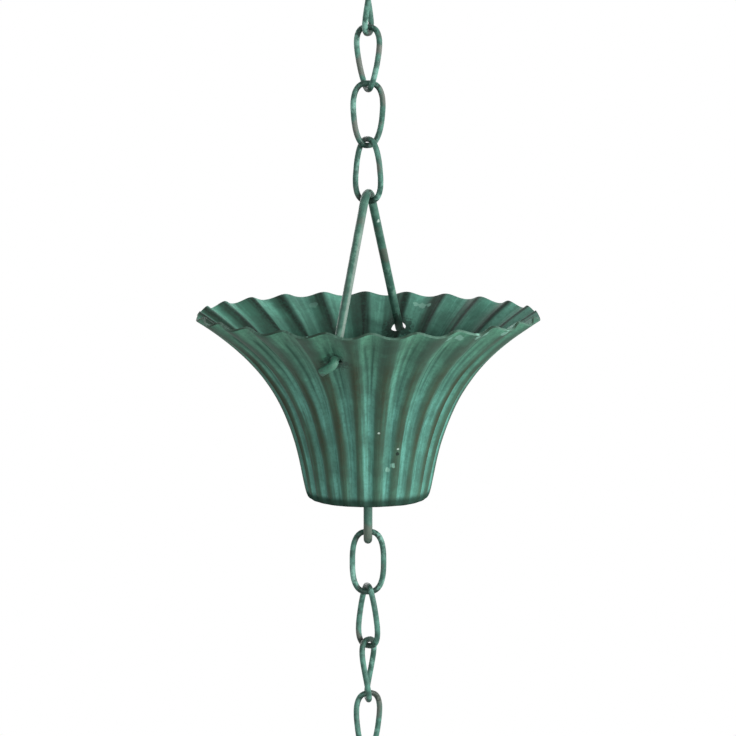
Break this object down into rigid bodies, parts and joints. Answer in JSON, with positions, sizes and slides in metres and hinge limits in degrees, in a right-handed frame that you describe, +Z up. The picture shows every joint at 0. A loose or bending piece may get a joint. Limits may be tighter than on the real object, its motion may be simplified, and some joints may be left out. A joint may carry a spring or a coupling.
{
  "type": "rain chain",
  "caption": "Rain chain with a flared, fluted verdigris cup on a wire bail, hung from twisted wire links, with a drain loop and more links below to lead water down.",
  "frame": {"origin": "bearing point inside the upper bow of the top link, where the chain hangs", "axes": "+Z up along the hanging chain, +X through the two bail holes in the cup's wall"},
  "size_m": [0.12, 0.12, 0.2785],
  "materials": {
    "link_wire": "green verdigris patina over dark metal wire, matte, darker in patches",
    "hanger_wire": "green verdigris patina over dark metal wire, matte, rubbed lighter along the legs",
    "cup_sheet": "verdigris patina, teal in the creases and brown on the scallops, chipped at the rim"
  },
  "bodies": {
    "top_link": {"top_link": "link_wire"},
    "upper_link_1": {"upper_link_1": "link_wire"},
    "upper_link_2": {"upper_link_2": "link_wire"},
    "upper_link_3": {"upper_link_3": "link_wire"},
    "cup_bail": {"cup_bail": "hanger_wire"},
    "fluted_cup": {"fluted_cup": "cup_sheet"},
    "drain_loop": {"drain_loop": "hanger_wire"},
    "lower_link_1": {"lower_link_1": "link_wire"},
    "lower_link_2": {"lower_link_2": "link_wire"},
    "lower_link_3": {"lower_link_3": "link_wire"},
    "end_link": {"end_link": "link_wire"}
  },
  "joints": [
    {"name": "upper_link_1_swing", "type": "hinge", "parent": "top_link", "child": "upper_link_1", "pos_m": [0, 0, -0.0206], "axis": [0.9962, -0.0872, 0], "range_deg": [-60, 60]},
    {"name": "upper_link_2_swing", "type": "hinge", "parent": "upper_link_1", "child": "upper_link_2", "pos_m": [0, 0, -0.04], "axis": [0.8746, 0.4848, 0], "range_deg": [-60, 60]},
    {"name": "upper_link_3_swing", "type": "hinge", "parent": "upper_link_2", "child": "upper_link_3", "pos_m": [0, 0, -0.0594], "axis": [-0.866, 0.5, 0], "range_deg": [-60, 60]},
    {"name": "bail_swing", "type": "hinge", "parent": "upper_link_3", "child": "cup_bail", "pos_m": [0, 0, -0.0788], "axis": [0.2079, 0.9781, 0], "range_deg": [-60, 60]},
    {"name": "cup_swing", "type": "hinge", "parent": "cup_bail", "child": "fluted_cup", "pos_m": [0, 0, -0.1277], "axis": [1, 0, 0], "range_deg": [-15, 15]},
    {"name": "drain_loop_swivel", "type": "hinge", "parent": "fluted_cup", "child": "drain_loop", "pos_m": [0, 0, -0.1837], "axis": [0, 0, 1], "continuous": true},
    {"name": "lower_link_1_swing", "type": "hinge", "parent": "drain_loop", "child": "lower_link_1", "pos_m": [0, 0, -0.1984], "axis": [0.9744, 0.225, 0], "range_deg": [-60, 60]},
    {"name": "lower_link_2_swing", "type": "hinge", "parent": "lower_link_1", "child": "lower_link_2", "pos_m": [0, 0, -0.2173], "axis": [0.309, -0.9511, 0], "range_deg": [-60, 60]},
    {"name": "lower_link_3_swing", "type": "hinge", "parent": "lower_link_2", "child": "lower_link_3", "pos_m": [0, 0, -0.2367], "axis": [0.454, 0.891, 0], "range_deg": [-60, 60]},
    {"name": "end_link_swing", "type": "hinge", "parent": "lower_link_3", "child": "end_link", "pos_m": [0, 0, -0.2561], "axis": [0.9205, 0.3907, 0], "range_deg": [-60, 60]}
  ]
}
